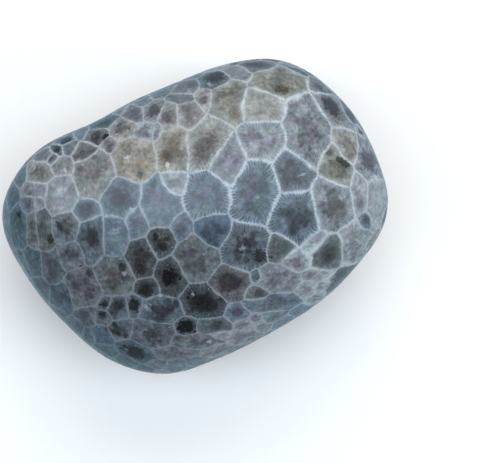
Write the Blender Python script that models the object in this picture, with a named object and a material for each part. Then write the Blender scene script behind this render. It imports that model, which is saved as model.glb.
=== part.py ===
# Petoskey stone: one water-worn pebble of fossil coral, lying on its small flat spot.
# Metres, +Z up. The origin is on the flat spot's level, under the middle of the stone's box.

import math

import bmesh
import bpy
from mathutils import Vector

MM = 0.001

# How far the stone reaches from its middle, seen from above,
# every 20 degrees anticlockwise from its right-hand end (+X).
OUTLINE_REACH = [
    reach * MM
    for reach in (
        41.7, 41.2, 40.1, 38.2, 32.4, 28.2,
        27.5, 29.6, 37.5, 41.8, 38.8, 36.5,
        36.2, 34.8, 31.2, 30.0, 31.8, 35.9,
    )
]

# Towards the top and the bottom the outline's corners soften into this oval:
# half its length, half its width and the way that its length points.
OVAL_LENGTH = 40.0 * MM
OVAL_WIDTH = 29.5 * MM
OVAL_AZIMUTH = math.radians(20)

# The two halves of its section, above and below its widest level.
# A fullness of 2 is an ellipse, and more is squarer.
CROWN_HEIGHT = 25.0 * MM
CROWN_FULLNESS = 2.35
KEEL_DEPTH = 19.9 * MM
KEEL_FULLNESS = 2.45

# One long side is steeper than the other.
STEEP_SIDE = math.radians(125)
STEEP_SIDE_FULLNESS = 0.4

# The crown leans off the middle and rises towards one corner (share of its height per metre),
# and the stone's widest level climbs from end to end.
CROWN_LEAN = Vector((0.02, 0.06))
CROWN_RISE = Vector((2.0, 1.6))
WAIST_CLIMB = Vector((0.06, -0.03))

# Broad, shallow places that wear has flattened a little:
# azimuth and elevation in degrees, depth, and how far each spreads in degrees.
WORN_PLACES = (
    (75, 52, 0.7 * MM, 30),
    (215, 38, 0.9 * MM, 30),
    (345, 34, 0.8 * MM, 26),
    (20, -28, 1.0 * MM, 28),
    (160, -36, 0.9 * MM, 30),
    (262, -34, 0.8 * MM, 28),
)

# The flat spot that it rests on is worn off the lowest part of the keel.
FLAT_SPOT_DEPTH = 0.55 * MM
RIM_SNAP = 0.05 * MM

SURFACE_DIVISIONS = 5


def outline_reach(azimuth):
    """Reach of the outline at an azimuth, on a smooth closed curve through the listed ones."""
    count = len(OUTLINE_REACH)
    place = azimuth / (2 * math.pi) * count
    step = math.floor(place)
    t = place - step
    before, start, end, after = (OUTLINE_REACH[(step + k) % count] for k in (-1, 0, 1, 2))
    return 0.5 * (
        2 * start
        + (end - before) * t
        + (2 * before - 5 * start + 4 * end - after) * t * t
        + (3 * start - before - 3 * end + after) * t ** 3
    )


def oval_reach(azimuth):
    """Reach of the oval at an azimuth."""
    turn = azimuth - OVAL_AZIMUTH
    return 1 / math.hypot(math.cos(turn) / OVAL_LENGTH, math.sin(turn) / OVAL_WIDTH)


def unit(azimuth_degrees, elevation_degrees):
    """Unit vector towards an azimuth and an elevation."""
    azimuth = math.radians(azimuth_degrees)
    elevation = math.radians(elevation_degrees)
    flat = math.cos(elevation)
    return Vector((flat * math.cos(azimuth), flat * math.sin(azimuth), math.sin(elevation)))


def wear(direction):
    """Depth worn off the stone in one direction."""
    depth = 0
    for azimuth, elevation, deepest, spread in WORN_PLACES:
        angle = math.degrees(direction.angle(unit(azimuth, elevation)))
        depth += deepest * math.exp(-((angle / spread) ** 2))
    return depth


def surface_point(direction):
    """Point of the stone's surface in one direction from its middle."""
    azimuth = math.atan2(direction.y, direction.x)
    side = direction.xy.length
    corners = outline_reach(azimuth) - oval_reach(azimuth)
    level_reach = oval_reach(azimuth) + corners * side ** 2
    height, fullness = CROWN_HEIGHT, CROWN_FULLNESS
    if direction.z < 0:
        height, fullness = KEEL_DEPTH, KEEL_FULLNESS
    fullness += STEEP_SIDE_FULLNESS * math.cos(azimuth - STEEP_SIDE)
    across = side / level_reach
    upwards = abs(direction.z) / height
    reach = (across ** fullness + upwards ** fullness) ** (-1 / fullness)
    point = direction * (reach - wear(direction))
    if point.z > 0:
        point.z *= 1 + CROWN_RISE.dot(point.xy)
    climb = WAIST_CLIMB.dot(point.xy) * side ** 2
    return Vector((
        point.x + CROWN_LEAN.x * point.z,
        point.y + CROWN_LEAN.y * point.z,
        point.z + climb,
    ))


def cut_flat_spot(mesh):
    """Wears the lowest part of the stone off to a level face."""
    level = min(vertex.co.z for vertex in mesh.verts) + FLAT_SPOT_DEPTH
    for vertex in mesh.verts:
        if abs(vertex.co.z - level) < RIM_SNAP:
            vertex.co.z = level
    bmesh.ops.bisect_plane(
        mesh,
        geom=mesh.verts[:] + mesh.edges[:] + mesh.faces[:],
        dist=0.1 * RIM_SNAP,
        plane_co=(0, 0, level),
        plane_no=(0, 0, -1),
        clear_outer=True,
    )
    rim = [edge for edge in mesh.edges if edge.is_boundary]
    bmesh.ops.holes_fill(mesh, edges=rim)


def centre_on_floor(mesh):
    """Moves the stone so that its box stands on the origin."""
    low = [min(vertex.co[axis] for vertex in mesh.verts) for axis in range(3)]
    high = [max(vertex.co[axis] for vertex in mesh.verts) for axis in range(3)]
    middle = Vector(((low[0] + high[0]) / 2, (low[1] + high[1]) / 2, low[2]))
    bmesh.ops.translate(mesh, verts=mesh.verts, vec=-middle)


def stone_material():
    """Wet-polished grey limestone."""
    material = bpy.data.materials.new("polished_coral_limestone")
    material.use_nodes = True
    shader = material.node_tree.nodes["Principled BSDF"]
    shader.inputs["Base Color"].default_value = (0.16, 0.18, 0.20, 1)
    shader.inputs["Roughness"].default_value = 0.28
    shader.inputs["Metallic"].default_value = 0
    return material


def make_stone(collection):
    """The whole pebble, one closed solid."""
    mesh = bmesh.new()
    bmesh.ops.create_icosphere(mesh, subdivisions=SURFACE_DIVISIONS, radius=1)
    for vertex in mesh.verts:
        vertex.co = surface_point(vertex.co.normalized())
    cut_flat_spot(mesh)
    centre_on_floor(mesh)
    bmesh.ops.recalc_face_normals(mesh, faces=mesh.faces)
    data = bpy.data.meshes.new("stone")
    mesh.to_mesh(data)
    mesh.free()
    data.shade_smooth()
    data.materials.append(stone_material())
    stone = bpy.data.objects.new("stone", data)
    collection.objects.link(stone)
    return stone


for leftover in list(bpy.data.objects):
    bpy.data.objects.remove(leftover, do_unlink=True)

petoskey_stone = bpy.data.collections.new("petoskey_stone")
bpy.context.scene.collection.children.link(petoskey_stone)
make_stone(petoskey_stone)
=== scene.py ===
import math
from types import SimpleNamespace

import bmesh
import bpy
import numpy as np
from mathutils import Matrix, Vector, noise
from mathutils.bvhtree import BVHTree


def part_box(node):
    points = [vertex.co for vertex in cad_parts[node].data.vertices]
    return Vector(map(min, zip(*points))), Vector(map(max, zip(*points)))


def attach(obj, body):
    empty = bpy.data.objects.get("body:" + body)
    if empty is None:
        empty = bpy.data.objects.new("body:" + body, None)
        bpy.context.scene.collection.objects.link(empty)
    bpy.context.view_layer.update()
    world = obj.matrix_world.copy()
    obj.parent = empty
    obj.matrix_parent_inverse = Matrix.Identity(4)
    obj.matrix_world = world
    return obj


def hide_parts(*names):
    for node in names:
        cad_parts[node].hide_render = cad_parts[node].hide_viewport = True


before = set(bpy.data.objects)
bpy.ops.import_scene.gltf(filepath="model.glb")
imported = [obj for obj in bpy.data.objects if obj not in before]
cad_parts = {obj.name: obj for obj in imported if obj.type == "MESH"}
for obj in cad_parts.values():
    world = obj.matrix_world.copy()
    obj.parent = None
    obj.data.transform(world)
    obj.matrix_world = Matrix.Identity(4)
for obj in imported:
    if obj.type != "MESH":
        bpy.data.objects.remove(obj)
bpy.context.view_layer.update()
mm = 0.001

# The photograph looks straight down on the stone.
shot = {
    "photo": (488, 463),            # width and height in pixels
    "height": 350 * mm,             # lens above the floor
    "pixelOnFloor": 0.2289 * mm,
    "over": (10.8 * mm, -3.05 * mm),
    "sensor": 36,
}


def makeCamera():
    data = bpy.data.cameras.new("photoCamera")
    data.sensor_width = shot["sensor"]
    data.lens = shot["sensor"] * shot["height"] / (shot["pixelOnFloor"] * shot["photo"][0])
    data.clip_start = 0.01
    camera = bpy.data.objects.new("photoCamera", data)
    camera.location = (*shot["over"], shot["height"])   # a camera looks down its own -Z
    bpy.context.scene.collection.objects.link(camera)
    bpy.context.scene.camera = camera
    print("camera placed")


def sightLine(x, y):
    # The ray from the lens through a pixel of the photograph.
    width, height = shot["photo"]
    across = (x - width / 2) * shot["pixelOnFloor"]
    along = (height / 2 - y) * shot["pixelOnFloor"]
    lens = Vector((*shot["over"], shot["height"]))
    return lens, Vector((across, along, -shot["height"])).normalized()


stoneShape = {
    "cuts": 127,                 # cuts on each side of the cube that becomes the stone
    "smoothing": 40,             # rounds of smoothing that take the solid's facets out
    "swell": (0.16, 12.0),       # slow rise and fall: height and spacing in mm
    "ripple": (0.03, 3.5),
    "boxGap": 0.0002,            # share of its size that the stone stays inside the solid's box
    "wallRise": 0.035,           # mm, corallite walls are a touch harder than their filling
    "wallSpread": 0.35,          # mm to each side
    "restingBand": 2.0,          # mm above the floor over which the walls flatten out
}


def guideSurface(node):
    # A rounded copy of the solid that only serves to be measured.
    mesh = node.data.copy()
    together = 0.01 * mm
    bm = bmesh.new()
    bm.from_mesh(mesh)
    bmesh.ops.remove_doubles(bm, verts=bm.verts, dist=together)
    bm.to_mesh(mesh)
    bm.free()
    guide = bpy.data.objects.new("guide", mesh)
    bpy.context.scene.collection.objects.link(guide)
    guide.modifiers.new("round", "SUBSURF").levels = 2
    tree = BVHTree.FromObject(guide, bpy.context.evaluated_depsgraph_get())
    bpy.data.objects.remove(guide)
    return tree


def quadBall(cuts):
    bm = bmesh.new()
    bmesh.ops.create_cube(bm, size=2)
    bmesh.ops.subdivide_edges(bm, edges=bm.edges[:], cuts=cuts, use_grid_fill=True)
    mesh = bpy.data.meshes.new("polished_stone")
    bm.to_mesh(mesh)
    bm.free()
    return mesh


def readPoints(mesh):
    points = np.empty(len(mesh.vertices) * 3)
    mesh.vertices.foreach_get("co", points)
    return points.reshape(-1, 3)


def readEdges(mesh):
    edges = np.empty(len(mesh.edges) * 2, int)
    mesh.edges.foreach_get("vertices", edges)
    return edges.reshape(-1, 2)


def readFaces(mesh):
    corners = np.empty(len(mesh.loops), int)
    mesh.loops.foreach_get("vertex_index", corners)
    return corners.reshape(-1, 4)


def smoothed(values, edges, rounds):
    a, b = edges.T
    count = len(values)
    neighbours = np.bincount(a, minlength=count) + np.bincount(b, minlength=count)
    for _ in range(rounds):
        around = np.bincount(a, values[b], count) + np.bincount(b, values[a], count)
        values = (values + around / neighbours) / 2
    return values


def noiseAt(points, spacing, offset=0.0):
    return np.array([noise.noise(Vector(p / spacing) + Vector((offset, 0, 0))) for p in points])


def fitBox(points):
    # The finished stone fills the solid's box and rests at the same level.
    low, high = (np.array(corner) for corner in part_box("stone"))
    inside = (high - low) * stoneShape["boxGap"]
    points = np.maximum(points, (-np.inf, -np.inf, low[2]))   # nothing sinks below the floor
    now, span = points.min(0), np.ptp(points, 0)
    fitted = low + inside + (points - now) * (high - low - 2 * inside) / span
    fitted[:, 2] += low[2] - fitted[:, 2].min()
    return fitted


def shapeStone(mesh, tree):
    low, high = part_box("stone")
    middle = (low + high) / 2
    cube = readPoints(mesh)
    rays = np.tan(cube * math.pi / 4)      # evens out the squares on the ball
    rays /= np.linalg.norm(rays, axis=1)[:, None]
    reach = np.array([tree.ray_cast(middle, Vector(ray))[3] for ray in rays])
    reach = smoothed(reach, readEdges(mesh), stoneShape["smoothing"])
    points = np.array(middle) + rays * reach[:, None]
    for height, spacing in (stoneShape["swell"], stoneShape["ripple"]):
        points += rays * (noiseAt(points, spacing * mm, spacing) * height * mm)[:, None]
    return fitBox(points)


# The corallites that show in the photograph, by the colour of their filling.
# Each row: pixel of the middle, half width and half height in pixels, how dark the middle is
# (below 0 it is pale), how strongly the septa show, and how far it leans to the left in degrees.
corallites = {
    "pearl": [
        (261, 105, 23, 17, 0.0, 0.3, 0), (350, 146, 11, 20, 0.3, 0.1, 22),
        (207, 143, 20, 28, 0.0, 0.5, -28),
    ],
    "mist": [
        (262, 140, 23, 20, 0.0, 0.5, 0), (378, 201, 10, 22, -0.3, 0.0, 0), (355, 246, 14, 20, 0.1, 0.2, 0),
        (315, 242, 13, 6, -0.2, 0.0, 45), (222, 336, 11, 4, 0.0, 0.0, 0), (144, 131, 10, 9, 0.3, 0.1, 0),
        # the pale middle of the corallite at 60, 195 is a painted highlight
        (173, 184, 13, 14, 0.2, 0.1, 0), (60, 195, 14, 19, -0.2, 0.1, 0), (377, 237, 3, 20, 0.0, 0.0, -31),
        (295, 262, 12, 10, 0.3, 0.3, 0), (360, 194, 9, 21, 0.2, 0.1, 6), (318, 275, 14, 5, 0.0, 0.0, 10),
        (322, 287, 12, 4, 0.0, 0.0, 20), (308, 290, 10, 7, 0.1, 0.0, 20), (316, 299, 10, 4, 0.0, 0.0, 35),
    ],
    "lavender": [
        (307, 128, 21, 36, 0.3, 0.7, 4), (228, 162, 18, 26, 0.0, 0.3, -9), (369, 158, 12, 22, 0.5, 0.1, 20),
        (334, 207, 21, 27, 0.7, 0.4, 0), (237, 71, 12, 6, -0.1, 0.0, 0), (278, 280, 22, 14, 0.2, 0.2, 0),
        (243, 337, 14, 6, 0.1, 0.0, 10), (216, 351, 14, 5, 0.2, 0.0, 12), (35, 190, 12, 8, -0.1, 0.0, 0),
        (258, 320, 9, 6, 0.1, 0.0, 0), (130, 104, 14, 4, 0.1, 0.0, 22), (262, 326, 7, 5, 0.1, 0.0, 0),
        (246, 325, 10, 6, 0.1, 0.0, 0), (157, 131, 4, 9, 0.2, 0.0, -10), (39, 204, 5, 6, 0.1, 0.0, 0),
        (154, 110, 13, 10, 0.6, 0.0, 35), (334, 107, 9, 27, 0.1, 0.0, 42),
    ],
    "violet": [
        (134, 114, 10, 8, 0.0, 0.1, 0), (43, 156, 8, 6, 0.0, 0.0, 35), (181, 98, 13, 5, -0.1, 0.0, 0),
        (197, 342, 24, 7, 0.4, 0.0, 0), (83, 289, 18, 19, 0.3, 0.0, 0), (71, 256, 13, 13, 0.3, 0.0, 0),
        (178, 354, 22, 5, 0.2, 0.0, 0), (320, 87, 13, 7, 0.3, 0.0, -35), (186, 87, 12, 6, 0.0, 0.0, 22),
        (65, 227, 13, 15, 0.5, 0.1, 0), (70, 147, 9, 6, 0.1, 0.0, 15), (258, 65, 18, 6, 0.1, 0.0, 0),
    ],
    "blueGray": [
        (255, 192, 24, 33, 0.3, 1.0, -6), (208, 194, 23, 24, 0.0, 0.8, 0), (296, 217, 25, 26, 0.5, 1.0, 0),
        (160, 203, 21, 25, -0.1, 0.1, 0), (121, 197, 21, 19, 0.2, 0.15, 0), (86, 211, 12, 12, 0.3, 0.0, 0),
        (181, 227, 10, 13, 0.3, 0.0, 0), (137, 222, 10, 16, 0.1, 0.0, 0), (115, 237, 12, 19, -0.1, 0.0, 0),
        (238, 313, 10, 8, 0.5, 0.1, 0), (272, 304, 26, 9, 0.1, 0.1, 8), (176, 367, 11, 5, -0.15, 0.0, 5),
        (366, 220, 6, 7, 0.2, 0.0, 0), (159, 366, 9, 4, -0.1, 0.0, 0), (196, 362, 9, 5, -0.15, 0.0, 15),
        (5, 208, 4, 13, 0.0, 0.0, 0), (28, 205, 6, 7, 0.1, 0.0, 0), (271, 317, 14, 5, 0.1, 0.0, 15),
        (302, 311, 12, 5, 0.0, 0.0, 32), (285, 321, 10, 4, 0.0, 0.0, 28), (81, 133, 7, 6, 0.0, 0.0, 20),
        (161, 93, 11, 5, 0.0, 0.0, 22), (145, 101, 8, 5, 0.0, 0.0, 25), (8, 236, 3, 14, 0.0, 0.0, 15),
    ],
    "slate": [
        (293, 172, 19, 22, 0.4, 0.4, 0), (246, 247, 24, 23, 0.6, 0.65, 0), (187, 327, 11, 9, 0.9, 0.0, 0),
        (91, 240, 13, 23, 0.6, 0.2, 0), (52, 267, 10, 16, 0.3, 0.0, 14), (121, 330, 12, 9, 0.5, 0.0, 0),
        (161, 311, 20, 14, 0.6, 0.1, 0), (213, 79, 15, 8, 0.5, 0.1, 8), (105, 304, 7, 7, 0.6, 0.0, 0),
        (87, 316, 9, 9, 0.3, 0.0, 0), (214, 326, 17, 7, 0.4, 0.0, 0), (152, 334, 21, 14, 0.5, 0.1, 0),
        (134, 306, 8, 9, 0.4, 0.0, 0), (118, 309, 11, 11, 0.6, 0.0, 0), (103, 317, 8, 7, 0.3, 0.0, 0),
        # The corallite at 350, 114 is slate with a dark middle as painted shade at the stone's rim.
        (258, 277, 6, 6, 0.2, 0.0, 0), (350, 114, 6, 12, 0.5, 0.0, 38),
    ],
    "navy": [
        (214, 231, 17, 18, 0.3, 0.1, -12), (136, 352, 16, 8, 0.7, 0.0, -20),
        (60, 297, 13, 12, 0.4, 0.0, -30), (100, 337, 10, 9, 0.2, 0.0, -30),
    ],
    # Corallites along the stone's rim: a dark teal, partly their own colour and partly painted shade and
    # painted reflection of the rim.
    "tealRimShadeAndReflection": [
        (66, 140, 10, 5, 0.6, 0.0, 25), (19, 178, 6, 10, 0.0, 0.0, -25), (26, 264, 3, 13, 0.1, 0.0, 25),
        (43, 289, 6, 13, 0.1, 0.0, 38), (60, 314, 5, 10, 0.1, 0.0, 45), (74, 327, 11, 6, 0.0, 0.0, -42),
        (89, 337, 8, 6, 0.1, 0.0, -30), (106, 351, 12, 5, 0.1, 0.0, -32), (125, 362, 10, 5, 0.1, 0.0, -25),
        (145, 370, 10, 4, 0.1, 0.0, -8), (12, 192, 6, 12, 0.3, 0.0, -15), (32, 263, 8, 14, 0.1, 0.0, 12),
        (19, 228, 7, 18, 0.3, 0.0, 4), (104, 122, 13, 6, 0.6, 0.0, 25), (113, 112, 9, 4, 0.1, 0.0, 25),
        (295, 70, 12, 3, 0.0, 0.0, -22),
    ],
    "charcoal": [
        (203, 302, 22, 17, 0.7, 0.3, 0), (171, 277, 16, 19, 0.5, 0.2, 0), (147, 288, 12, 10, 0.3, 0.1, 0),
        (57, 149, 5, 5, 0.1, 0.0, 0), (141, 260, 15, 19, 0.4, 0.2, 0), (161, 242, 13, 15, 0.6, 0.1, 0),
    ],
    "umber": [
        (229, 284, 20, 17, 0.6, 0.3, 0), (85, 151, 12, 10, 0.0, 0.0, 15), (96, 136, 12, 7, 0.1, 0.0, 10),
    ],
    "taupe": [
        (167, 116, 11, 14, 0.4, 0.1, -8), (95, 175, 19, 25, 0.1, 0.4, 0), (39, 172, 13, 11, 0.4, 0.0, 0),
        (204, 99, 8, 10, 0.5, 0.0, 0), (60, 167, 10, 9, 0.2, 0.1, 0), (190, 113, 13, 13, 0.3, 0.0, 15),
        (123, 127, 13, 9, 0.4, 0.0, 15), (109, 144, 7, 7, 0.3, 0.0, 0),
    ],
    "olive": [
        (229, 101, 19, 21, 0.2, 0.2, 0), (283, 80, 26, 16, 0.2, 0.1, -6), (339, 168, 15, 21, 0.3, 0.2, 22),
    ],
    "mossGray": [
        (280, 249, 14, 14, 0.1, 0.1, 0), (330, 253, 13, 20, 0.1, 0.0, -30), (341, 278, 20, 7, 0.1, 0.0, 43),
        (197, 260, 23, 23, 0.2, 0.1, 0), (52, 160, 4, 6, 0.3, 0.0, -25), (258, 294, 12, 8, 0.4, 0.0, 0),
        (114, 277, 20, 19, 0.3, 0.1, 0), (44, 231, 8, 20, 0.2, 0.0, 9), (32, 231, 5, 18, 0.3, 0.0, 6),
    ],
    "sand": [
        (134, 159, 21, 21, 0.0, 0.3, 0), (173, 150, 18, 22, 0.4, 0.4, -6),
    ],
}

# What fills them, as it looks on the polished face, 0 to 255.
tints = {
    "pearl": (135, 134, 130),
    "mist": (133, 137, 141),
    "lavender": (118, 120, 126),
    "violet": (97, 99, 106),
    "blueGray": (91, 102, 113),
    "slate": (83, 90, 98),
    "navy": (70, 86, 101),
    # Along the rim: partly the stone's own teal, partly painted shade and painted reflection.
    "tealRimShadeAndReflection": (69, 88, 99),
    "charcoal": (61, 64, 66),
    "umber": (89, 88, 89),
    "taupe": (126, 124, 123),
    "olive": (122, 123, 115),
    "mossGray": (89, 94, 95),
    "sand": (139, 133, 123),
}


def linear(colour):
    # From a colour of 0 to 255 to the light values that Blender works in.
    shares = [c / 255 for c in colour]
    return tuple(s / 12.92 if s < 0.04045 else ((s + 0.055) / 1.055) ** 2.4 for s in shares)


coralRules = {
    "bulge": 0.6,                # 2 makes the walls straight, less bends them around the smaller corallite
    "wander": (0.38, 3.2),       # sideways waviness of the walls: reach and spacing in mm
    "wanderSeed": 4,
    "septumSpacing": 0.70,       # mm around the rim
}


def onPlane(lens, ray, point, normal):
    return lens + ray * ((point - lens).dot(normal) / ray.dot(normal))


def shortened(vector, limit):
    return vector * min(1.0, limit / vector.length)


def seedFromPhoto(tree, x, y, halfWidth, halfHeight, lean):
    # Casts a corallite or a mark of the photograph onto the stone.
    heart = (195, 216)               # pixel in the stone's middle
    step = 0.02                      # share of the way that a spot beside the stone moves towards it
    grazing, dip = -0.2, 0.4         # a ray flatter to the surface than this is dipped
    longest = 0.5 * mm               # half width or height for each pixel
    place = None
    while place is None:
        lens, ray = sightLine(x, y)
        place, normal = tree.ray_cast(lens, ray)[:2]
        if place is None:
            x, y = x + (heart[0] - x) * step, y + (heart[1] - y) * step
    arms = []
    c, s = math.cos(math.radians(lean)), math.sin(math.radians(lean))
    for dx, dy, half in ((c, -s, halfWidth), (s, c, halfHeight)):
        ends = []
        for side in (-1, 1):
            ray = sightLine(x + side * dx * half, y + side * dy * half)[1]
            if ray.dot(normal) > grazing:
                ray = (ray - normal * dip).normalized()
            ends.append(onPlane(lens, ray, place, normal))
        arms.append(shortened((ends[1] - ends[0]) / 2, half * longest))
    return place, normal, arms


def makeSeed(place, normal, arms, tint, dark, septa):
    # "toShares" turns an offset from the middle into shares of the arms; "size" is the mean half width.
    size = math.sqrt(arms[0].cross(arms[1]).length)
    columns = np.array([arms[0], arms[1], normal * size]).T
    side = arms[0].normalized()
    return {
        "place": np.array(place),
        "toShares": np.linalg.inv(columns),
        "size": size,
        "axes": np.array([side, normal.cross(side)]),
        "tint": linear(tints[tint]),
        "dark": dark,
        "septa": septa,
        "ribs": round(2 * math.pi * size / (coralRules["septumSpacing"] * mm)),
    }


# The corallites that the photograph doesn't show are grown by rule.
hiddenGrowth = {
    "seed": 23,
    "sizes": ((5.4, 80), (4.6, 200), (3.8, 600), (3.1, 1400), (2.5, 2500), (2.0, 3500)),   # mm and tries
    "sizeSpread": (0.85, 1.15),
    "stretch": (0.88, 1.12),
    "crowding": 0.86,            # how close two may grow, 1 is edge to edge
    "neighbourhood": 16,         # mm within which others are looked at
    "darkest": 0.9,
    "darkRarity": 1.6,           # above 1, dark middles are rarer than plain ones
    "septaRarity": 3,
    "tints": ("slate", "blueGray", "lavender", "violet", "mossGray", "taupe", "mist", "charcoal", "umber"),
    "shares": (0.20, 0.18, 0.12, 0.12, 0.11, 0.08, 0.09, 0.05, 0.05),
}


def seedsFromPhoto(tree):
    seeds = []
    for tint, rows in corallites.items():
        for *oval, dark, septa, lean in rows:
            place, normal, arms = seedFromPhoto(tree, *oval, lean)
            seeds.append(makeSeed(place, normal, arms, tint, dark, septa))
    print("corallites from the photograph:", len(seeds))
    return seeds


def roomLeft(seed, spot):
    share = np.linalg.norm(seed["toShares"] @ (np.array(spot) - seed["place"]))
    return (share - 1) * seed["size"]


def crowded(seeds, spot, radius):
    places = np.array([s["place"] for s in seeds])
    near = np.linalg.norm(places - np.array(spot), axis=1) < hiddenGrowth["neighbourhood"] * mm
    room = radius * hiddenGrowth["crowding"]
    return any(roomLeft(seeds[n], spot) < room for n in np.flatnonzero(near))


def growSeeds(tree, points, faces):
    # Large corallites first, then smaller ones wherever there is still room.
    draws = np.random.default_rng(hiddenGrowth["seed"])
    seeds = seedsFromPhoto(tree)
    quads = points[faces]
    areas = np.linalg.norm(np.cross(quads[:, 2] - quads[:, 0], quads[:, 3] - quads[:, 1]), axis=1)
    shares = areas / areas.sum()
    for size, tries in hiddenGrowth["sizes"]:
        for face in draws.choice(len(faces), tries, p=shares):
            radius = size * draws.uniform(*hiddenGrowth["sizeSpread"]) * mm
            spot, normal = tree.find_nearest(Vector(quads[face].mean(0)))[:2]
            if crowded(seeds, spot, radius):
                continue
            side = normal.orthogonal().normalized()
            side.rotate(normal.to_track_quat("Z", "Y"))
            stretch = draws.uniform(*hiddenGrowth["stretch"])
            arms = (side * radius * stretch, normal.cross(side).normalized() * radius / stretch)
            tint = draws.choice(hiddenGrowth["tints"], p=hiddenGrowth["shares"])
            dark = draws.random() ** hiddenGrowth["darkRarity"] * hiddenGrowth["darkest"]
            septa = draws.random() ** hiddenGrowth["septaRarity"]
            seeds.append(makeSeed(spot, normal, arms, str(tint), dark, septa))
    print("corallites in all:", len(seeds))
    return seeds


def territory(seeds, points, chosen=None):
    # How far each point lies beyond each corallite's edge, as a power distance.
    # With chosen, row n of it names the corallites that point n is measured from.
    places = np.array([s["place"] for s in seeds])
    frames = np.array([s["toShares"] for s in seeds])
    sizes = np.array([s["size"] for s in seeds])
    if chosen is None:
        shares = np.einsum("sij,psj->psi", frames, points[:, None] - places)
        return (np.sum(shares ** 2, 2) - 1) * sizes ** coralRules["bulge"]
    shares = np.einsum("pcij,pcj->pci", frames[chosen], points[:, None] - places[chosen])
    return (np.sum(shares ** 2, 2) - 1) * sizes[chosen] ** coralRules["bulge"]


def nearestThree(seeds, points):
    batch = 4000     # points at a time, to save memory
    chosen = np.empty((len(points), 3), int)
    for start in range(0, len(points), batch):
        part = territory(seeds, points[start:start + batch])
        closest = np.argpartition(part, 3, 1)[:, :3]
        order = np.argsort(np.take_along_axis(part, closest, 1), 1)
        chosen[start:start + batch] = np.take_along_axis(closest, order, 1)
    return chosen


# The three walls between three corallites: first and second, first and third, second and third.
wallPairs = ((0, 1), (0, 2), (1, 2))


def wallOffsets(seeds, points, chosen, gauge):
    # Signed distance in mm from the three walls between the three nearest corallites.
    # "gauge" holds the slope of each pair, measured once for a whole face.
    ways = territory(seeds, points, chosen)
    return np.stack([(ways[:, b] - ways[:, a]) / gauge[:, n] / mm for n, (a, b) in enumerate(wallPairs)], 1)


def wallSlopes(seeds, points, chosen):
    # How fast the power distances of each pair draw apart at each point.
    places = np.array([s["place"] for s in seeds])[chosen]
    frames = np.array([s["toShares"] for s in seeds])[chosen]
    sizes = np.array([s["size"] for s in seeds])[chosen]
    shares = np.einsum("pcij,pcj->pci", frames, points[:, None] - places)
    pulls = 2 * np.einsum("pcij,pci->pcj", frames, shares) * (sizes ** coralRules["bulge"])[..., None]
    return np.stack([np.linalg.norm(pulls[:, b] - pulls[:, a], axis=1) for a, b in wallPairs], 1)


def wallNearness(seeds, bent):
    chosen = nearestThree(seeds, bent)
    slopes = wallSlopes(seeds, bent, chosen)
    return np.abs(wallOffsets(seeds, bent, chosen, slopes)[:, 0])


def wander(points):
    # Shifts each point sideways a little, so that the walls waver.
    noise.seed_set(coralRules["wanderSeed"])     # without this it would start from the clock
    reach, spacing = (value * mm for value in coralRules["wander"])
    pushes = [noise.turbulence_vector(Vector(p / spacing), 2, False) for p in points]
    return points + np.array(pushes) * reach


def store(mesh, name, kind, domain, values):
    layer = mesh.attributes.new(name, kind, domain)
    key = "color" if kind == "FLOAT_COLOR" else "vector"
    layer.data.foreach_set(key, np.ascontiguousarray(values, np.float32).ravel())


def writeCorallites(mesh, seeds, bent, faces):
    # Everything the material needs to draw walls and fillings, kept on the mesh.
    centres = bent[faces].mean(1)
    chosen = nearestThree(seeds, centres)
    slopes = wallSlopes(seeds, centres, chosen)
    corners = bent[faces.ravel()]
    offsets = wallOffsets(seeds, corners, np.repeat(chosen, 4, 0), np.repeat(slopes, 4, 0))
    store(mesh, "wallOffsets", "FLOAT_VECTOR", "CORNER", offsets)
    home = chosen[:, 0]
    owner = np.repeat(home, 4)
    away = corners - np.array([s["place"] for s in seeds])[owner]
    flat = np.einsum("cij,cj->ci", np.array([s["axes"] for s in seeds])[owner], away) / mm
    share = np.einsum("cij,cj->ci", np.array([s["toShares"] for s in seeds])[owner], away)
    store(mesh, "inCorallite", "FLOAT_VECTOR", "CORNER", np.c_[flat, np.linalg.norm(share, axis=1)])
    colours = np.array([(*s["tint"], 1.0) for s in seeds])[home]
    store(mesh, "filling", "FLOAT_COLOR", "FACE", colours)
    habit = np.array([(s["ribs"], s["dark"], s["septa"]) for s in seeds])[home]
    store(mesh, "habit", "FLOAT_VECTOR", "FACE", habit)
    print("walls and fillings written")


# How bold the walls are: pixel, radius in pixels, and boldness from 0, a faint grey line,
# to 1, a broad pale band.
wallPatches = [
    (252, 185, 30, 0.8), (300, 215, 24, 0.85), (262, 106, 22, 0.8), (304, 96, 14, 1.0), (314, 244, 14, 1.0),
    (214, 232, 20, 0.3), (176, 185, 16, 0.75), (150, 168, 30, 0.55), (340, 180, 26, 0.65),
    (370, 215, 22, 0.55), (60, 180, 24, 0.6), (100, 215, 26, 0.5), (225, 120, 30, 0.55),
    (150, 120, 26, 0.45), (190, 260, 24, 0.2), (260, 285, 22, 0.35), (100, 280, 40, 0.1),
    (170, 320, 40, 0.1), (30, 250, 30, 0.15), (240, 325, 24, 0.4), (120, 350, 30, 0.1), (330, 275, 20, 0.6),
    (200, 75, 24, 0.4), (255, 238, 18, 0.45), (270, 72, 20, 0.5),
]

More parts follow.
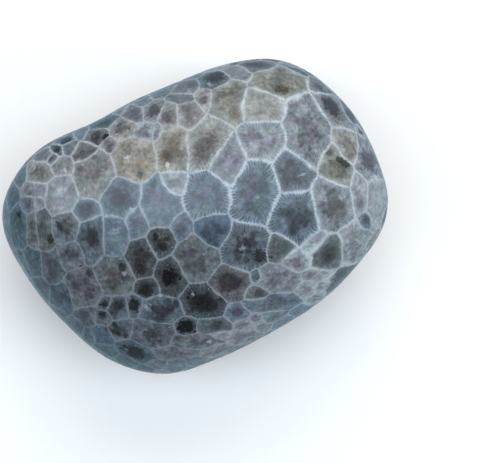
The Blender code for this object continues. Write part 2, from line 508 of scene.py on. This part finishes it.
# Dark marks, each as pixel, half width and half height in pixels, strength, and lean to the left
# in degrees.
darkMarks = [
    (51, 240, 4, 6, 0.8, 10), (19, 214, 3, 5, 0.9, 0), (30, 193, 3, 3, 0.4, 0), (51, 286, 4, 3, 0.4, 0),
    (82, 267, 3, 2, 0.9, 0), (89, 273, 4, 6, 0.7, 20), (69, 277, 3, 4, 0.6, 0), (53, 295, 5, 4, 0.3, 0),
    (71, 301, 3, 4, 0.5, 20), (82, 313, 4, 3, 0.5, 0), (122, 267, 4, 6, 0.8, 25),
    (104, 305, 5, 3, 0.9, -10), (118, 305, 7, 6, 0.8, 0), (102, 315, 5, 4, 0.9, -30),
    (134, 305, 6, 8, 0.9, 0), (109, 330, 4, 3, 0.8, -20), (116, 333, 6, 3, 0.9, -25),
    (125, 336, 3, 3, 0.7, 0), (115, 326, 3, 6, 0.8, 40), (134, 353, 14, 6, 0.95, -22),
    (96, 137, 5, 7, 0.75, -10), (105, 137, 3, 7, 1.0, -30), (57, 150, 3, 6, 0.8, -40),
    (67, 141, 8, 3, 0.9, 25), (80, 169, 4, 3, 0.5, 0), (94, 157, 4, 3, 0.5, 0), (109, 151, 4, 3, 0.5, 0),
    (140, 174, 4, 5, 0.6, 0), (153, 109, 4, 7, 0.7, -25), (215, 76, 11, 5, 0.8, 10),
    (255, 64, 15, 4, 0.55, 0), (168, 156, 9, 9, 0.55, 0), (174, 142, 7, 9, 0.5, -25),
    (205, 148, 11, 19, 0.62, -33), (235, 115, 6, 4, 0.4, 0), (281, 89, 10, 5, 0.75, -10),
    (332, 106, 7, 16, 0.85, 39), (344, 163, 9, 5, 0.85, -38), (329, 152, 5, 4, 0.6, 0),
    (351, 152, 4, 8, 0.4, 15), (360, 203, 5, 8, 0.35, 0), (342, 213, 6, 7, 0.6, 0),
    (333, 205, 5, 6, 0.4, 0), (367, 220, 4, 5, 0.5, 0), (329, 255, 8, 11, 0.55, -35),
    (341, 274, 8, 3, 0.35, 43), (293, 231, 5, 6, 0.7, 0), (284, 213, 6, 5, 0.5, 30),
    (298, 205, 6, 4, 0.4, 0), (254, 198, 5, 4, 0.4, 0), (262, 257, 11, 8, 0.9, -10),
    (238, 258, 4, 4, 0.6, 0), (213, 223, 4, 3, 0.4, 0), (215, 245, 4, 4, 0.5, 0), (155, 238, 3, 6, 1.0, 0),
    (162, 247, 6, 4, 0.9, -20), (170, 278, 9, 9, 1.0, 20), (141, 250, 5, 3, 0.6, -40),
    (140, 267, 6, 10, 0.8, 10), (146, 290, 8, 7, 0.8, 0), (204, 305, 15, 9, 0.8, 0),
    (192, 295, 6, 6, 0.95, 0), (168, 302, 5, 4, 0.6, 0), (163, 314, 6, 6, 0.5, 0), (176, 303, 3, 5, 0.7, 0),
    (158, 323, 5, 2, 0.9, -15), (187, 327, 11, 9, 1.0, 0), (217, 327, 7, 4, 0.6, 0),
    (92, 236, 6, 8, 0.8, 0), (60, 227, 3, 6, 0.8, 30), (67, 232, 3, 4, 0.6, 30), (120, 199, 10, 10, 0.5, 0),
    (85, 209, 9, 8, 0.4, 0), (230, 281, 11, 9, 0.8, -20), (187, 268, 5, 4, 0.4, 0),
    (203, 270, 4, 3, 0.4, -40), (290, 162, 4, 3, 0.5, 0), (305, 123, 4, 4, 0.4, 0),
    (181, 229, 7, 5, 0.4, 0),
]

# Pale flecks, written in the same way. The small white ones are pale calcite with painted glints, the one
# at 61, 192 is a painted highlight, and the pale bands and patches are the stone's own.
paleMarksAndGlints = [
    (127, 158, 4, 4, 1.0, 0), (168, 165, 3, 4, 1.0, 0), (65, 170, 3, 3, 0.9, 0), (209, 84, 3, 3, 0.5, 0),
    (193, 294, 3, 3, 0.5, 0), (302, 175, 6, 2, 0.45, 25), (124, 274, 3, 3, 0.4, 0),
    (209, 342, 3, 2, 0.6, 0), (243, 248, 4, 4, 0.5, 0), (115, 232, 6, 8, 0.4, 0), (147, 307, 5, 6, 0.4, 0),
    (61, 192, 5, 9, 0.4, 0), (132, 210, 4, 4, 0.7, 0), (257, 197, 3, 3, 0.4, 0), (296, 98, 8, 4, 0.7, 8),
    (160, 296, 3, 3, 0.7, 0), (243, 104, 3, 8, 0.8, -8), (325, 238, 7, 9, 0.35, -50),
    (314, 248, 4, 12, 0.7, -45), (309, 257, 5, 8, 0.95, 12), (355, 222, 3, 10, 0.6, -8),
    (376, 177, 5, 4, 0.6, 0), (348, 264, 12, 3, 0.6, 0), (328, 278, 12, 5, 0.6, 48),
    (126, 350, 3, 1.5, 0.3, -20), (228, 186, 3, 6, 0.3, 0), (235, 190, 3, 4, 0.5, 0),
]

# Brown stains, written in the same way.
stains = [
    (146, 164, 9, 8, 0.8, 0), (165, 157, 8, 8, 1.0, 0), (173, 144, 8, 9, 0.5, -20),
    (200, 152, 9, 12, 0.4, -25), (282, 88, 12, 6, 0.5, 0), (338, 168, 9, 10, 0.4, 0),
    (334, 108, 6, 14, 0.4, 38), (235, 115, 9, 7, 0.5, 0), (229, 100, 12, 12, 0.3, 0),
    (352, 152, 6, 10, 0.4, 15), (262, 256, 12, 9, 0.4, 0), (229, 281, 12, 10, 0.4, 0),
    (114, 276, 12, 12, 0.3, 0), (340, 209, 9, 11, 0.3, 0), (80, 166, 8, 6, 0.4, 0),
    (140, 265, 8, 10, 0.3, 0),
]


def spotOnStone(tree, x, y):
    return np.array(seedFromPhoto(tree, x, y, 1, 1, 0)[0])


def boldness(tree, points):
    # Blends the patches into one smooth field; where none is near, the walls are middling.
    middling, hold = 0.45, 0.02
    total, weight = hold * middling, hold
    for x, y, radius, bold in wallPatches:
        away = np.linalg.norm(points - spotOnStone(tree, x, y), axis=1) / (radius * shot["pixelOnFloor"])
        share = np.exp(-away ** 2)
        total = total + share * bold
        weight = weight + share
    return total / weight


def nearestMark(tree, points, faces, marks):
    # Of the mark nearest to each face: where its corners lie, in shares of the mark's half sizes,
    # and how strong the mark is.
    outside = 4.0                    # half sizes away, where no mark shows any more
    centres, corners = points[faces].mean(1), points[faces.ravel()]
    nearest = np.full(len(faces), outside)
    offsets = np.full((len(corners), 3), outside)
    strength = np.zeros(len(faces))
    for *oval, strong, lean in marks:
        place, normal, arms = seedFromPhoto(tree, *oval, lean)
        mark = makeSeed(place, normal, arms, "mist", 0, 0)
        away = np.linalg.norm((centres - mark["place"]) @ mark["toShares"].T, axis=1)
        nearer = away < nearest
        nearest[nearer], strength[nearer] = away[nearer], strong
        own = np.repeat(nearer, 4)
        offsets[own] = (corners[own] - mark["place"]) @ mark["toShares"].T
    return offsets, strength


def writeMarks(mesh, tree, points, faces):
    strengths = []
    for name, marks in (("nearDark", darkMarks), ("nearPaleAndGlint", paleMarksAndGlints), ("nearStain", stains)):
        offsets, strength = nearestMark(tree, points, faces, marks)
        store(mesh, name, "FLOAT_VECTOR", "CORNER", offsets)
        strengths.append(strength)
    store(mesh, "markStrength", "FLOAT_VECTOR", "FACE", np.stack(strengths, 1))
    bold = boldness(tree, points)
    store(mesh, "wallBoldness", "FLOAT_VECTOR", "POINT", np.stack([bold, bold, bold], 1))
    print("marks written")


def vertexNormals(mesh):
    normals = np.empty(len(mesh.vertices) * 3)
    mesh.vertex_normals.foreach_get("vector", normals)
    return normals.reshape(-1, 3)


def raiseWalls(mesh, points, nearness):
    rise = np.exp(-(nearness / stoneShape["wallSpread"]) ** 2) * stoneShape["wallRise"] * mm
    resting = np.clip(points[:, 2] / (stoneShape["restingBand"] * mm), 0, 1)
    return fitBox(points + vertexNormals(mesh) * (rise * resting)[:, None])


def buildStone():
    tree = guideSurface(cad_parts["stone"])
    mesh = quadBall(stoneShape["cuts"])
    points = shapeStone(mesh, tree)
    mesh.vertices.foreach_set("co", points.ravel())
    mesh.update()
    print("stone shaped:", len(mesh.polygons), "faces")
    faces = readFaces(mesh)
    seeds = growSeeds(tree, points, faces)
    bent = wander(points)
    writeCorallites(mesh, seeds, bent, faces)
    writeMarks(mesh, tree, points, faces)
    points = raiseWalls(mesh, points, wallNearness(seeds, bent))
    mesh.vertices.foreach_set("co", points.ravel())
    mesh.shade_smooth()
    mesh.update()
    stone = bpy.data.objects.new("polished_stone", mesh)
    bpy.context.scene.collection.objects.link(stone)
    mesh.materials.append(coralStone())
    return stone


stoneFinish = {
    # cloud textures: size in mm, detail, roughness and twist
    "clouds": {
        "grain": (0.35, 2.0, 0.55, 0.0),
        "speck": (0.85, 2.0, 0.5, 0.0),
        "patch": (2.2, 2.0, 0.55, 0.0),
        "drift": (7.0, 2.0, 0.55, 0.0),
        "mud": (2.8, 2.0, 0.6, 0.0),
        "pits": (1.2, 1.0, 0.5, 0.3),
        # flecks: pale calcite specks that carry painted glints
        "flecks": (0.6, 1.0, 0.5, 0.5),
    },
    # fillings
    "warmColour": (116, 104, 96),
    "coolColour": (82, 108, 124),
    "hueDrift": 0.09,
    "middleWarmth": 0.04,
    "stainColour": (134, 112, 84),
    "stain": 0.6,
    "violetColour": (105, 99, 117),
    "greenColour": (93, 111, 109),
    "tinge": 0.6,
    "mottle": (1.8, 1.3, 0.4),   # how far patches, specks and grain lighten and darken
    "streaks": (1.2, 0.25),      # the same for streaks, near the walls and in the middle
    "contrast": 2.7,             # raised to the power that these add up to
    "rimLift": (0.05, 0.22),     # how much paler the rim is beside faint and bold walls
    "halo": (0.05, 0.5),         # calcite beside faint and bold walls
    # dark and pale places
    "darkColour": (6, 7, 8),
    "darkDepth": 0.95,
    "darkSpeckDepth": 0.35,
    # pale places, and the painted glints and painted highlight among them
    "paleAndGlintColour": (184, 194, 201),
    "paleAndGlintHue": 0.6,              # how far pale places take the filling's hue
    "fleckAndGlintShow": (0.20, 0.40),   # in the middle and near the walls
    # septa
    "septumColour": (146, 160, 170),
    "gapColour": (40, 52, 60),
    "gapDepth": 0.65,
    "ribShow": 0.5,
    # walls
    "wallHalf": (0.15, 0.24),    # half a wall's width in mm, faint and bold
    "wallFaint": (128, 129, 137),
    "wallBold": (183, 187, 190),
    "wallHue": 0.4,              # how far they take the filling's hue
    "roughness": (0.24, 0.38),
    "ior": 1.36,
}


def plug(tree, value, socket):
    if isinstance(value, bpy.types.NodeSocket):
        tree.links.new(value, socket)
    else:
        socket.default_value = value


def maths(tree, operation, *values):
    node = tree.nodes.new("ShaderNodeMath")
    node.operation = operation
    for value, socket in zip(values, node.inputs):
        plug(tree, value, socket)
    return node.outputs[0]


def ease(tree, value, start, end, atStart=0.0, atEnd=1.0):
    node = tree.nodes.new("ShaderNodeMapRange")
    node.interpolation_type = "SMOOTHSTEP"
    for setting, socket in zip((value, start, end, atStart, atEnd), node.inputs):
        plug(tree, setting, socket)
    return node.outputs[0]


def blendColour(tree, share, first, second, way="MIX"):
    node = tree.nodes.new("ShaderNodeMix")
    node.data_type = "RGBA"
    node.blend_type = way
    plug(tree, share, node.inputs["Factor"])
    for colour, name in ((first, "A"), (second, "B")):
        socket = [s for s in node.inputs if s.name == name and s.type == "RGBA"][0]
        plug(tree, (*linear(colour), 1) if isinstance(colour, tuple) else colour, socket)
    return [s for s in node.outputs if s.type == "RGBA"][0]


def clouds(tree, where, size, detail, roughness, twist):
    node = tree.nodes.new("ShaderNodeTexNoise")
    plug(tree, where, node.inputs["Vector"])
    node.inputs["Scale"].default_value = 1 / (size * mm)
    node.inputs["Detail"].default_value = detail
    node.inputs["Roughness"].default_value = roughness
    node.inputs["Distortion"].default_value = twist
    return node.outputs[0]


def attribute(tree, name):
    node = tree.nodes.new("ShaderNodeAttribute")
    node.attribute_name = name
    return node


def split(tree, vector):
    node = tree.nodes.new("ShaderNodeSeparateXYZ")
    plug(tree, vector, node.inputs[0])
    return node.outputs


def wallDistance(tree):
    # Inside whichever corallite a point falls in, the distance to its nearest wall.
    first, second, third = split(tree, attribute(tree, "wallOffsets").outputs["Vector"])
    inFirst = maths(tree, "MINIMUM", first, second)
    inSecond = maths(tree, "MINIMUM", maths(tree, "MULTIPLY", first, -1.0), third)
    inThird = maths(tree, "MULTIPLY", maths(tree, "MAXIMUM", second, third), -1.0)
    return maths(tree, "MAXIMUM", inFirst, maths(tree, "MAXIMUM", inSecond, inThird))


def wobble(tree, value, cloud, reach):
    # A value that wavers with a cloud texture around its own middle.
    return maths(tree, "MULTIPLY_ADD", maths(tree, "SUBTRACT", cloud, 0.5), reach, value)


def times(tree, colour, amount):
    node = tree.nodes.new("ShaderNodeVectorMath")
    node.operation = "SCALE"
    plug(tree, colour, node.inputs[0])
    plug(tree, amount, node.inputs["Scale"])
    return node.outputs[0]


def insideMark(tree, name):
    # 1 in the middle of the nearest mark, 0 at its edge and below beyond it.
    node = tree.nodes.new("ShaderNodeVectorMath")
    node.operation = "LENGTH"
    plug(tree, attribute(tree, name).outputs["Vector"], node.inputs[0])
    return maths(tree, "SUBTRACT", 1.0, node.outputs["Value"])


def radialStreaks(tree, at):
    # Noise drawn out along the septa, as fine as they stand at the rim.
    squares = [maths(tree, "POWER", side, 2.0) for side in (at.along, at.across)]
    reach = maths(tree, "SQRT", maths(tree, "ADD", *squares))
    turns = maths(tree, "DIVIDE", at.ribs, 2 * math.pi)
    turns = maths(tree, "DIVIDE", turns, maths(tree, "MAXIMUM", reach, 0.05))
    node = tree.nodes.new("ShaderNodeCombineXYZ")
    plug(tree, maths(tree, "MULTIPLY", at.along, turns), node.inputs[0])
    plug(tree, maths(tree, "MULTIPLY", at.across, turns), node.inputs[1])
    plug(tree, maths(tree, "MULTIPLY", at.wall, 0.6), node.inputs[2])
    unscaled = 1000                  # mm, because the offsets are already counted in septa
    return clouds(tree, node.outputs[0], unscaled, 2.0, 0.6, 0.0)


def readStone(tree):
    # What the mesh and the cloud textures say at each point of the stone.
    where = tree.nodes.new("ShaderNodeTexCoord").outputs["Object"]
    looks = stoneFinish["clouds"].items()
    at = SimpleNamespace(**{name: clouds(tree, where, *look) for name, look in looks})
    at.along, at.across, at.share = split(tree, attribute(tree, "inCorallite").outputs["Vector"])
    at.ribs, at.dark, at.septa = split(tree, attribute(tree, "habit").outputs["Vector"])
    at.darkest, at.palest, at.stainest = split(tree, attribute(tree, "markStrength").outputs["Vector"])
    at.bold = attribute(tree, "wallBoldness").outputs["Fac"]
    at.filling = attribute(tree, "filling").outputs["Color"]
    at.wall = wallDistance(tree)
    at.streak = radialStreaks(tree, at)
    torn = wobble(tree, wobble(tree, at.share, at.patch, 1.2), at.speck, 0.45)
    at.inner = ease(tree, torn, 0.35, 0.95, 1.0, 0.0)
    at.core = ease(tree, torn, 0.30, 0.75, 1.0, 0.0)
    at.fringe = ease(tree, wobble(tree, at.wall, at.speck, 1.4), 0.1, 1.8, 1.0, 0.0)
    turned = wobble(tree, maths(tree, "ARCTAN2", at.across, at.along), at.patch, 0.35)
    at.wave = maths(tree, "COSINE", maths(tree, "MULTIPLY", turned, at.ribs))
    return at


def fillingColour(tree, at):
    # Warmer in the middle and bluer near the walls, with brown stains.
    drift, middle = stoneFinish["hueDrift"], stoneFinish["middleWarmth"]
    warm = ease(tree, at.drift, 0.50, 0.70, 0.0, drift)
    warm = maths(tree, "MULTIPLY_ADD", at.inner, middle, warm)
    colour = blendColour(tree, warm, at.filling, stoneFinish["warmColour"])
    stain = ease(tree, wobble(tree, insideMark(tree, "nearStain"), at.patch, 0.8), 0.0, 0.7)
    stain = maths(tree, "MULTIPLY", maths(tree, "MULTIPLY", stain, at.stainest), stoneFinish["stain"])
    colour = blendColour(tree, stain, colour, stoneFinish["stainColour"])
    cool = ease(tree, at.drift, 0.30, 0.50, drift, 0.0)
    cool = maths(tree, "ADD", cool, maths(tree, "MULTIPLY_ADD", at.inner, -middle, middle))
    return blendColour(tree, cool, colour, stoneFinish["coolColour"])


def tinged(tree, at, colour):
    # Faint violet and green mud. Sandy corallites, where red outweighs blue, take less of it.
    red, _, blue = split(tree, at.filling)
    tinge = ease(tree, maths(tree, "SUBTRACT", blue, red), -0.04, 0.01, 0.25, 1.0)
    tinge = maths(tree, "MULTIPLY", tinge, stoneFinish["tinge"])
    violet = ease(tree, wobble(tree, at.mud, at.core, 0.15), 0.50, 0.70)
    violet = maths(tree, "MULTIPLY", violet, tinge)
    colour = blendColour(tree, violet, colour, stoneFinish["violetColour"], "COLOR")
    green = maths(tree, "MULTIPLY", ease(tree, at.mud, 0.30, 0.50, 1.0, 0.0), tinge)
    return blendColour(tree, green, colour, stoneFinish["greenColour"], "COLOR")


def mottled(tree, at, colour):
    # Clouded and streaked lighter and darker, and paler with calcite beside the walls.
    shade = 0.0
    for cloud, strength in zip((at.patch, at.speck, at.grain), stoneFinish["mottle"]):
        shade = wobble(tree, shade, cloud, strength)
    shade = wobble(tree, shade, at.streak, ease(tree, at.wall, 0.3, 2.8, *stoneFinish["streaks"]))
    shade = maths(tree, "POWER", stoneFinish["contrast"], shade)
    lift = maths(tree, "MULTIPLY", at.fringe, ease(tree, at.bold, 0.0, 1.0, *stoneFinish["rimLift"]))
    colour = times(tree, colour, maths(tree, "ADD", shade, lift))
    halo = ease(tree, wobble(tree, at.wall, at.speck, 0.8), 0.1, 1.0, 1.0, 0.0)
    halo = maths(tree, "MULTIPLY", halo, ease(tree, at.bold, 0.2, 1.0, *stoneFinish["halo"]))
    return blendColour(tree, halo, colour, stoneFinish["septumColour"])


def darkPlaces(tree, at):
    # Dark middles and dark marks with a torn edge, and dark specks in the dark middles.
    middle = maths(tree, "MAXIMUM", maths(tree, "MULTIPLY", at.core, at.dark), 0.0)
    ragged = wobble(tree, insideMark(tree, "nearDark"), at.patch, 1.6)
    ragged = wobble(tree, wobble(tree, ragged, at.speck, 1.8), at.grain, 0.8)
    spot = maths(tree, "MULTIPLY", ease(tree, ragged, 0.0, 0.36), at.darkest)
    pits = ease(tree, at.dark, 0.0, 0.8, 0.0, stoneFinish["darkSpeckDepth"])
    pits = maths(tree, "MULTIPLY", ease(tree, at.pits, 0.60, 0.70), pits)
    return maths(tree, "MAXIMUM", maths(tree, "MAXIMUM", middle, spot), pits)


def palePlaces(tree, at, dark):
    # Pale middles, pale marks with painted glints and a painted highlight, and flecks with painted glints,
    # which are fainter where it is dark.
    middle = maths(tree, "MULTIPLY", at.core, maths(tree, "MULTIPLY", at.dark, -1.0))
    paleMarkAndGlint = wobble(tree, wobble(tree, insideMark(tree, "nearPaleAndGlint"), at.grain, 2.0), at.speck, 1.8)
    paleMarkAndGlint = maths(tree, "MULTIPLY", ease(tree, paleMarkAndGlint, 0.0, 0.9), at.palest)
    # Flecks: pale calcite specks with painted glints, stronger near the walls.
    flecks = ease(tree, at.fringe, 0.0, 1.0, *stoneFinish["fleckAndGlintShow"])
    flecks = maths(tree, "MULTIPLY", ease(tree, at.flecks, 0.64, 0.76), flecks)
    flecks = maths(tree, "MULTIPLY", flecks, ease(tree, dark, 0.0, 0.5, 1.0, 0.5))
    return maths(tree, "MAXIMUM", maths(tree, "MAXIMUM", middle, paleMarkAndGlint), flecks)


def spotted(tree, at, colour):
    dark = darkPlaces(tree, at)
    depth = maths(tree, "MULTIPLY", dark, stoneFinish["darkDepth"])
    colour = blendColour(tree, depth, colour, stoneFinish["darkColour"])
    # The pale share carries painted glints and a painted highlight along with the real pale places.
    pale = palePlaces(tree, at, dark)
    paleAndGlintTint = blendColour(tree, stoneFinish["paleAndGlintHue"], stoneFinish["paleAndGlintColour"], at.filling, "COLOR")
    return blendColour(tree, pale, colour, paleAndGlintTint)


def withSepta(tree, at, colour):
    # Pale ribs that run in from the wall and fade, with dark gaps between them.
    inward = ease(tree, wobble(tree, at.wall, at.speck, 1.6), 0.0, 2.5, 1.0, 0.0)
    uneven = ease(tree, at.streak, 0.35, 0.62, 0.3, 1.0)
    teeth = maths(tree, "MULTIPLY", maths(tree, "MULTIPLY", inward, at.septa), uneven)
    gaps = ease(tree, at.wave, -1.0, 0.5, stoneFinish["gapDepth"], 0.0)
    colour = blendColour(tree, maths(tree, "MULTIPLY", gaps, teeth), colour, stoneFinish["gapColour"])
    ribs = ease(tree, at.wave, 0.0, 1.0, 0.0, stoneFinish["ribShow"])
    return blendColour(tree, maths(tree, "MULTIPLY", ribs, teeth), colour, stoneFinish["septumColour"])


def withWalls(tree, at, colour):
    # A thin bright line, beaded where septa meet it.
    half = ease(tree, at.bold, 0.3, 1.0, *stoneFinish["wallHalf"])
    half = maths(tree, "MULTIPLY", half, ease(tree, at.patch, 0.3, 0.7, 0.7, 1.3))
    tooth = maths(tree, "MULTIPLY", at.septa, ease(tree, at.wave, -0.4, 1.0, 0.0, 0.14))
    uneasy = ease(tree, at.bold, 0.1, 0.6, 0.12, 0.5)
    worn = wobble(tree, wobble(tree, at.wall, at.speck, uneasy), at.grain, uneasy)
    worn = maths(tree, "SUBTRACT", worn, tooth)
    mask = ease(tree, worn, 0.0, maths(tree, "MULTIPLY", half, 2.2), 1.0, 0.0)
    faint, bold = stoneFinish["wallFaint"], stoneFinish["wallBold"]
    tint = blendColour(tree, ease(tree, at.bold, 0.05, 0.8), faint, bold)
    tint = blendColour(tree, stoneFinish["wallHue"], tint, at.filling, "COLOR")
    tint = times(tree, tint, wobble(tree, 1.0, at.speck, ease(tree, at.bold, 0.1, 0.6, 0.4, 0.9)))
    strength = ease(tree, wobble(tree, at.speck, at.patch, 0.8), 0.25, 0.55, 0.65, 1.0)
    return blendColour(tree, maths(tree, "MULTIPLY", mask, strength), colour, tint)


def coralStone():
    material = bpy.data.materials.new("polished_coral_limestone")
    material.use_nodes = True
    tree = material.node_tree
    surface = tree.nodes["Principled BSDF"]
    at = readStone(tree)
    colour = fillingColour(tree, at)
    for layer in (tinged, mottled, spotted, withSepta, withWalls):
        colour = layer(tree, at, colour)
    plug(tree, colour, surface.inputs["Base Color"])
    plug(tree, ease(tree, at.speck, 0.3, 0.7, *stoneFinish["roughness"]), surface.inputs["Roughness"])
    surface.inputs["IOR"].default_value = stoneFinish["ior"]
    print("stone coloured")
    return material


paleFloor = {
    "size": 8,
    "colour": (0.99, 0.955, 0.93),
    "roughness": 0.9,
    "sheen": 0.1,
}


def makeFloor():
    bpy.ops.mesh.primitive_plane_add(size=paleFloor["size"], location=(0, 0, 0))
    floor = bpy.context.object
    floor.name = "floor"
    material = bpy.data.materials.new("pale_table")
    material.use_nodes = True
    surface = material.node_tree.nodes["Principled BSDF"]
    surface.inputs["Base Color"].default_value = (*paleFloor["colour"], 1)
    surface.inputs["Roughness"].default_value = paleFloor["roughness"]
    surface.inputs["Specular IOR Level"].default_value = paleFloor["sheen"]
    floor.data.materials.append(material)
    floor.visible_glossy = False       # the stone's rims reflect the pale sky instead


softLight = {
    "skyColour": (238, 246, 255),
    "overhead": 0.12,                # the sky straight up is dim
    "horizon": 0.42,
    "rising": (0.02, 0.35),          # heights between which it dims
    "below": 0.68,                   # under the horizon: only the rims show it, instead of the floor
    "belowColour": (203, 234, 250),
    "sinking": (-0.15, 0.0),         # heights between which it takes over
    "boxes": {
        # watts, size, place, what it points at, colour
        "skyStrip": (10.6, (2.6, 0.42), (-0.05, 0.02, 0.80), (-0.05, 0.0, 0.0), (0.80, 0.91, 1.0)),
        "window": (11.8, (1.5, 0.9), (0.15, 1.15, 0.95), (0.0, 0.0, 0.0), (1.0, 0.98, 0.95)),
        "rightCard": (5.0, (0.6, 0.8), (1.15, -0.35, 0.60), (0.0, 0.0, 0.0), (0.88, 0.95, 1.0)),
    },
}


def makeSky():
    # Pale at the horizon, dim overhead, and bright and bluish below.
    world = bpy.data.worlds.new("softDay")
    world.use_nodes = True
    tree = world.node_tree
    background = tree.nodes["Background"]
    height = split(tree, tree.nodes.new("ShaderNodeTexCoord").outputs["Generated"])[2]
    above = ease(tree, height, *softLight["sinking"])
    colour = blendColour(tree, above, softLight["belowColour"], softLight["skyColour"])
    plug(tree, colour, background.inputs["Color"])
    low = ease(tree, height, *softLight["sinking"], softLight["below"], softLight["horizon"])
    strength = ease(tree, height, *softLight["rising"], low, softLight["overhead"])
    plug(tree, strength, background.inputs["Strength"])
    bpy.context.scene.world = world


def makeLight():
    makeSky()
    for name, (watts, size, place, target, colour) in softLight["boxes"].items():
        data = bpy.data.lights.new(name, "AREA")
        data.shape = "RECTANGLE"
        data.size, data.size_y = size
        data.energy = watts
        data.color = colour
        lamp = bpy.data.objects.new(name, data)
        lamp.location = place
        lamp.rotation_euler = (Vector(target) - Vector(place)).to_track_quat("-Z", "Y").to_euler()
        lamp.visible_camera = False
        bpy.context.scene.collection.objects.link(lamp)
    bpy.context.scene.view_settings.view_transform = "Standard"
    print("floor and light placed")


makeCamera()
stone = buildStone()
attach(stone, "root")
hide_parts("stone")
print("stone finished")
makeFloor()
makeLight()
